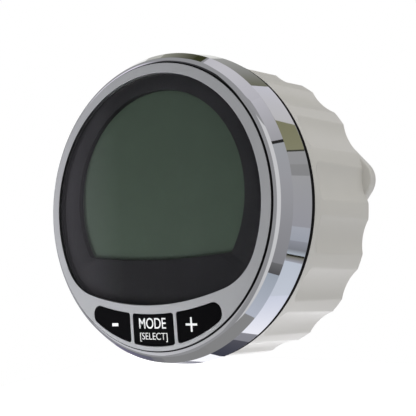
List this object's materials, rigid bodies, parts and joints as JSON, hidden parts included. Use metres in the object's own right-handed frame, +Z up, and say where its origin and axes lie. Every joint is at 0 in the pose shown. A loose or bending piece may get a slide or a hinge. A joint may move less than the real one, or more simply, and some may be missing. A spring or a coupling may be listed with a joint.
{
  "type": "engine monitor gauge",
  "caption": "Round flush-mount marine engine display with a chrome bezel, a flat-bottomed window, a curved button row and a fluted clamp nut behind the panel.",
  "frame": {"origin": "on the gauge's axis, in the plane where the gasket's rear face meets the panel", "axes": "+X to the right seen from the front, +Y from the face into the panel, +Z up"},
  "size_m": [0.1108, 0.0606, 0.1068],
  "materials": {
    "chrome": "polished plating",
    "satin_grey": "satin",
    "clear_lens": "clear, flat",
    "black_rubber": "moulded",
    "black_plastic": "fine grain",
    "display_glass": "polarised, unlit",
    "white_plastic": "moulded",
    "diffuser": "frosted",
    "grey_silicone": "moulded",
    "led_plastic": "moulded",
    "button_black": "fine grain",
    "nylon": "moulded",
    "switch_grey": "moulded",
    "board_green": "solder mask",
    "steel": "zinc plated",
    "ribbon_grey": "flexible",
    "can_metal": "bright",
    "case_white": "moulded",
    "nut_white": "moulded, slightly glossy",
    "gold_pin": "gold plated"
  },
  "bodies": {
    "gauge": {"chrome_bezel": "chrome", "face_plate": "satin_grey", "window_lens": "clear_lens", "lens_seal": "black_rubber", "display_mask": "black_plastic", "lcd_panel": "display_glass", "display_frame": "white_plastic", "light_guide": "diffuser", "contact_strip": "grey_silicone", "backlight_leds": "led_plastic", "button_seal": "grey_silicone", "switch_housings": "switch_grey", "circuit_board": "board_green", "board_screws": "steel", "processor_chip": "black_plastic", "driver_chips": "black_plastic", "ribbon_sockets": "black_plastic", "board_ribbon": "ribbon_grey", "power_board": "board_green", "power_screws": "steel", "voltage_regulator": "black_plastic", "capacitors": "can_metal", "case_shell": "case_white", "case_seal": "black_rubber", "panel_gasket": "black_rubber", "connector_shell": "case_white", "connector_insert": "black_plastic", "connector_pins": "gold_pin", "vent_plug": "black_plastic"},
    "minus_key": {"minus_button": "button_black", "minus_plunger": "nylon"},
    "mode_key": {"mode_button": "button_black", "mode_plunger": "nylon"},
    "plus_key": {"plus_button": "button_black", "plus_plunger": "nylon"},
    "nut": {"clamp_nut": "nut_white"}
  },
  "joints": [
    {"name": "minus_press", "type": "slide", "parent": "gauge", "child": "minus_key", "axis": [0, 1, 0], "range_m": [0, 0.0008], "stiffness_N_per_m": 2000},
    {"name": "mode_press", "type": "slide", "parent": "gauge", "child": "mode_key", "axis": [0, 1, 0], "range_m": [0, 0.0008], "stiffness_N_per_m": 2000},
    {"name": "plus_press", "type": "slide", "parent": "gauge", "child": "plus_key", "axis": [0, 1, 0], "range_m": [0, 0.0008], "stiffness_N_per_m": 2000},
    {"name": "clamp_nut_travel", "type": "slide", "parent": "gauge", "child": "nut", "axis": [0, 1, 0], "range_m": [0, 0.05]}
  ]
}
